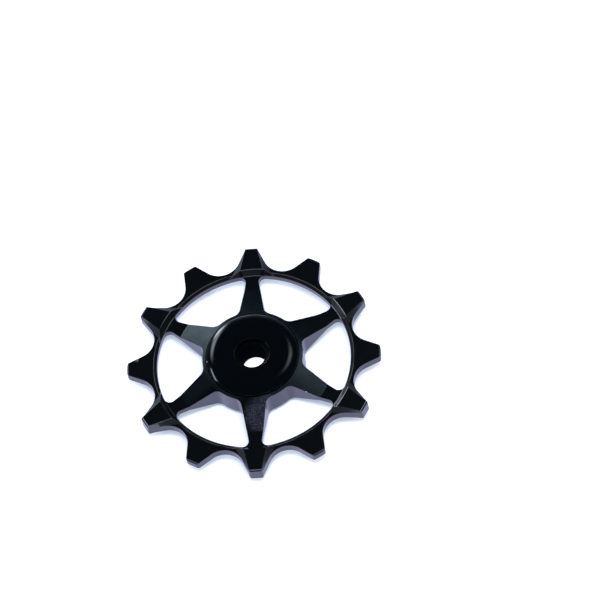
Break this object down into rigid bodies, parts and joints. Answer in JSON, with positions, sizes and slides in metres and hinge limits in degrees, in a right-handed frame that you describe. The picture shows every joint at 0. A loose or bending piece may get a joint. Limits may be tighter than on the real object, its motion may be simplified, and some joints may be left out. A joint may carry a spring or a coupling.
{
  "type": "derailleur jockey wheel",
  "caption": "Black anodised jockey wheel with alternating narrow and wide teeth and spokes, turning on a sealed ball bearing between two round covers with a bolt hole.",
  "frame": {"origin": "on the axle line, in the middle plane of the wheel", "axes": "+Z along the axle, square to the wheel; one wide tooth and its spoke point along +Y"},
  "size_m": [0.0506, 0.0506, 0.0074],
  "materials": {
    "wheel_anodised": "satin black anodised, milled and turned",
    "cover_gloss": "gloss black anodised, turned",
    "bush_anodised": "black anodised, turned",
    "ring_steel": "ground bearing steel",
    "ball_steel": "polished bearing steel",
    "cage_nylon": "moulded nylon",
    "seal_rubber": "moulded nitrile rubber"
  },
  "bodies": {
    "axle": {"centre_bush": "bush_anodised", "bearing_inner_ring": "ring_steel", "cover_upper": "cover_gloss", "cover_lower": "cover_gloss"},
    "wheel": {"toothed_wheel": "wheel_anodised", "bearing_outer_ring": "ring_steel", "bearing_seal_upper": "seal_rubber", "bearing_seal_lower": "seal_rubber"},
    "ball_set": {"bearing_cage": "cage_nylon", "bearing_ball_1": "ball_steel", "bearing_ball_2": "ball_steel", "bearing_ball_3": "ball_steel", "bearing_ball_4": "ball_steel", "bearing_ball_5": "ball_steel", "bearing_ball_6": "ball_steel", "bearing_ball_7": "ball_steel", "bearing_ball_8": "ball_steel", "bearing_ball_9": "ball_steel"}
  },
  "joints": [
    {"name": "wheel_spin", "type": "hinge", "parent": "axle", "child": "wheel", "pos_m": [0, 0, 0], "axis": [0, 0, 1], "continuous": true},
    {"name": "cage_spin", "type": "hinge", "parent": "axle", "child": "ball_set", "pos_m": [0, 0, 0], "axis": [0, 0, 1], "continuous": true}
  ],
  "couplings": [
    {"joint": "cage_spin", "follows": "wheel_spin", "ratio": 0.59524}
  ]
}
